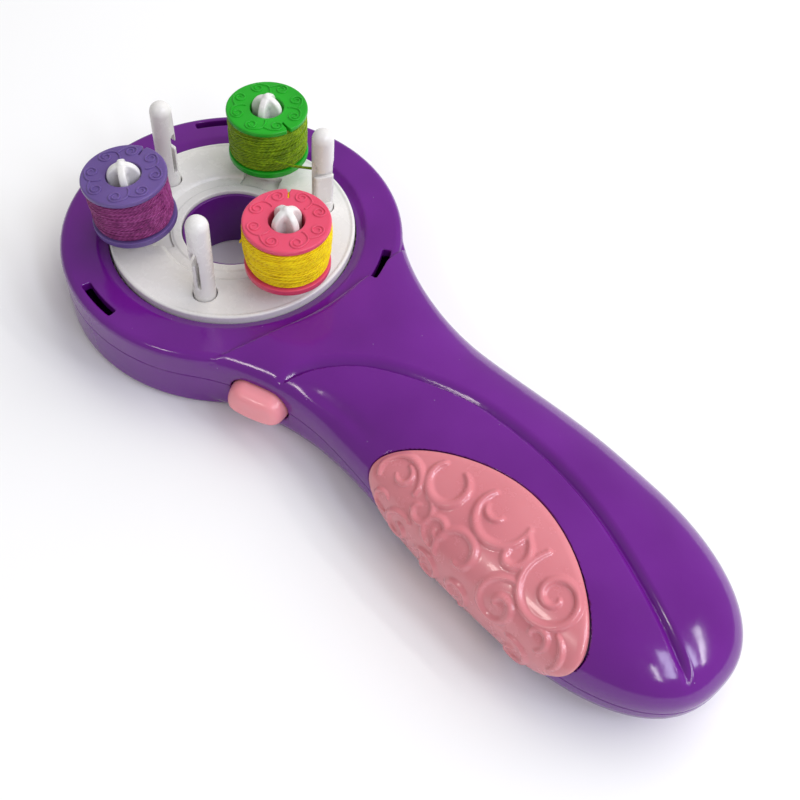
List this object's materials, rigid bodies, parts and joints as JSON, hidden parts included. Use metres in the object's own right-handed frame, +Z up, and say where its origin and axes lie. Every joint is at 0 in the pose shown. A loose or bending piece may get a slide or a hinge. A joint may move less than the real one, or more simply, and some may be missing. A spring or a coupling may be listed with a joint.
{
  "type": "hand-held knitting machine",
  "caption": "Toy knitting machine: flat round head with a turntable of bobbins and hook needles, cord bore, push button and hollow grip with motor and cells.",
  "frame": {"origin": "on the axis of the turntable and the cord bore, at the level of the table that the floor rests on", "axes": "+Z up along the cord bore, +X from the head along the handle"},
  "size_m": [0.238, 0.1046, 0.0527],
  "materials": {
    "case_purple": "gloss",
    "grip_pink": "gloss",
    "button_pink": "satin",
    "white_plastic": "gloss",
    "gear_plastic": "matte",
    "gear_brass": "machined",
    "spring_steel": "satin",
    "steel": "satin",
    "switch_black": "matte",
    "cell_jacket": "printed jacket",
    "contact_metal": "nickel plated",
    "flange_pink": "satin",
    "flange_green": "satin",
    "flange_violet": "satin",
    "thread_yellow": "twisted thread",
    "thread_green": "twisted thread",
    "thread_violet": "twisted thread"
  },
  "bodies": {
    "case": {"upper_shell": "case_purple", "lower_shell": "case_purple", "grip_inlay": "grip_pink", "cord_tube": "case_purple", "motor": "steel", "gear_pins": "steel", "power_switch": "switch_black", "battery_1": "cell_jacket", "battery_2": "cell_jacket", "battery_contacts": "contact_metal", "battery_door": "case_purple", "door_screw": "steel", "shell_screws": "steel"},
    "turntable": {"turntable": "white_plastic", "drive_gear": "gear_plastic", "spindle_1": "white_plastic", "spindle_2": "white_plastic", "spindle_3": "white_plastic", "carrier_spring": "spring_steel"},
    "needles": {"needle_carrier": "gear_plastic", "needle_1": "white_plastic", "needle_2": "white_plastic", "needle_3": "white_plastic", "thread_lead": "thread_green"},
    "idler": {"idler_gear": "gear_plastic"},
    "compound": {"compound_gear": "gear_plastic"},
    "motor_rotor": {"motor_pinion": "gear_brass", "motor_shaft": "steel"},
    "button": {"push_button": "button_pink"},
    "bobbin_1": {"bobbin_1": "flange_pink", "thread_core_1": "thread_yellow", "winding_1": "thread_yellow"},
    "bobbin_2": {"bobbin_2": "flange_green", "thread_core_2": "thread_green", "winding_2": "thread_green"},
    "bobbin_3": {"bobbin_3": "flange_violet", "thread_core_3": "thread_violet", "winding_3": "thread_violet"}
  },
  "joints": [
    {"name": "turntable_spin", "type": "hinge", "parent": "case", "child": "turntable", "pos_m": [0, 0, 0.0225], "axis": [0, 0, 1], "continuous": true},
    {"name": "needle_lift", "type": "slide", "parent": "turntable", "child": "needles", "axis": [0, 0, 1], "range_m": [-0.011, 0], "stiffness_N_per_m": 40, "springref_m": 0.006, "deforming": ["carrier_spring"]},
    {"name": "idler_spin", "type": "hinge", "parent": "case", "child": "idler", "pos_m": [0.04815, 0, 0.0165], "axis": [0, 0, 1], "continuous": true},
    {"name": "compound_spin", "type": "hinge", "parent": "case", "child": "compound", "pos_m": [0.0643, 0, 0.0165], "axis": [0, 0, 1], "continuous": true},
    {"name": "motor_spin", "type": "hinge", "parent": "case", "child": "motor_rotor", "pos_m": [0.08345, 0, 0.0165], "axis": [0, 0, 1], "continuous": true},
    {"name": "button_press", "type": "slide", "parent": "case", "child": "button", "axis": [-0.3746, 0.9272, 0], "range_m": [0, 0.0025], "stiffness_N_per_m": 250, "springref_m": -0.002},
    {"name": "bobbin_1_spin", "type": "hinge", "parent": "turntable", "child": "bobbin_1", "pos_m": [0.02798, -0.00098, 0.0225], "axis": [0, 0, 1], "continuous": true},
    {"name": "bobbin_2_spin", "type": "hinge", "parent": "turntable", "child": "bobbin_2", "pos_m": [-0.01315, 0.02472, 0.0225], "axis": [0, 0, 1], "continuous": true},
    {"name": "bobbin_3_spin", "type": "hinge", "parent": "turntable", "child": "bobbin_3", "pos_m": [-0.01484, -0.02374, 0.0225], "axis": [-0.037, -0.0592, 0.9976], "continuous": true}
  ],
  "couplings": [
    {"joint": "idler_spin", "follows": "turntable_spin", "ratio": -3.8},
    {"joint": "compound_spin", "follows": "turntable_spin", "ratio": 6.3333},
    {"joint": "motor_spin", "follows": "turntable_spin", "ratio": -17.733}
  ]
}
